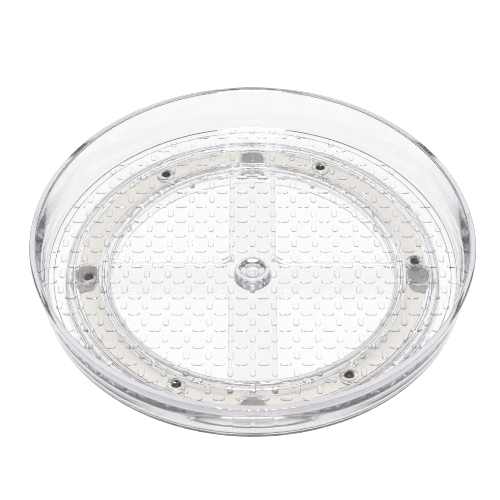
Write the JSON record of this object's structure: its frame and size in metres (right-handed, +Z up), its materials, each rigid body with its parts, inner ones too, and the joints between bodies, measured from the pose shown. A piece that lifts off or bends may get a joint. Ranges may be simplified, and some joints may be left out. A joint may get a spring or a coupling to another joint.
{
  "type": "lazy susan turntable",
  "caption": "Round clear tray with a raised wall that turns on a ring of steel balls over a clear base ring with a cross and grey non-slip pads.",
  "frame": {"origin": "on the spin axis at table level, under the centre of the tray", "axes": "+Z up along the spin axis, +X to the right and +Y to the far side along the arms of the base cross"},
  "size_m": [0.27, 0.27, 0.048],
  "materials": {
    "clear_plastic": "clear, polished",
    "retainer_plastic": "translucent cream, satin",
    "ball_steel": "polished",
    "pad_rubber": "matt grey"
  },
  "bodies": {
    "base": {"base": "clear_plastic", "foot_pad_right": "pad_rubber", "foot_pad_back": "pad_rubber", "foot_pad_left": "pad_rubber", "foot_pad_front": "pad_rubber"},
    "tray": {"turntable_tray": "clear_plastic", "pivot_cap": "clear_plastic"},
    "retainer": {"ball_retainer": "retainer_plastic"},
    "ball_1": {"ball_1": "ball_steel"},
    "ball_2": {"ball_2": "ball_steel"},
    "ball_3": {"ball_3": "ball_steel"},
    "ball_4": {"ball_4": "ball_steel"},
    "ball_5": {"ball_5": "ball_steel"},
    "ball_6": {"ball_6": "ball_steel"}
  },
  "joints": [
    {"name": "tray_spin", "type": "hinge", "parent": "base", "child": "tray", "pos_m": [0, 0, 0.0195], "axis": [0, 0, 1], "continuous": true},
    {"name": "retainer_spin", "type": "hinge", "parent": "base", "child": "retainer", "pos_m": [0, 0, 0.01445], "axis": [0, 0, 1], "continuous": true},
    {"name": "ball_1_roll", "type": "hinge", "parent": "retainer", "child": "ball_1", "pos_m": [0.10077, 0.00687, 0.01445], "axis": [0.9977, 0.068, 0], "continuous": true},
    {"name": "ball_2_roll", "type": "hinge", "parent": "retainer", "child": "ball_2", "pos_m": [0.04443, 0.0907, 0.01445], "axis": [0.4399, 0.898, 0], "continuous": true},
    {"name": "ball_3_roll", "type": "hinge", "parent": "retainer", "child": "ball_3", "pos_m": [-0.05633, 0.08383, 0.01445], "axis": [-0.5577, 0.83, 0], "continuous": true},
    {"name": "ball_4_roll", "type": "hinge", "parent": "retainer", "child": "ball_4", "pos_m": [-0.10077, -0.00687, 0.01445], "axis": [-0.9977, -0.068, 0], "continuous": true},
    {"name": "ball_5_roll", "type": "hinge", "parent": "retainer", "child": "ball_5", "pos_m": [-0.04443, -0.0907, 0.01445], "axis": [-0.4399, -0.898, 0], "continuous": true},
    {"name": "ball_6_roll", "type": "hinge", "parent": "retainer", "child": "ball_6", "pos_m": [0.05633, -0.08383, 0.01445], "axis": [0.5577, -0.83, 0], "continuous": true}
  ],
  "couplings": [
    {"joint": "retainer_spin", "follows": "tray_spin", "ratio": 0.5},
    {"joint": "ball_1_roll", "follows": "tray_spin", "ratio": -16.833},
    {"joint": "ball_2_roll", "follows": "tray_spin", "ratio": -16.833},
    {"joint": "ball_3_roll", "follows": "tray_spin", "ratio": -16.833},
    {"joint": "ball_4_roll", "follows": "tray_spin", "ratio": -16.833},
    {"joint": "ball_5_roll", "follows": "tray_spin", "ratio": -16.833},
    {"joint": "ball_6_roll", "follows": "tray_spin", "ratio": -16.833}
  ]
}
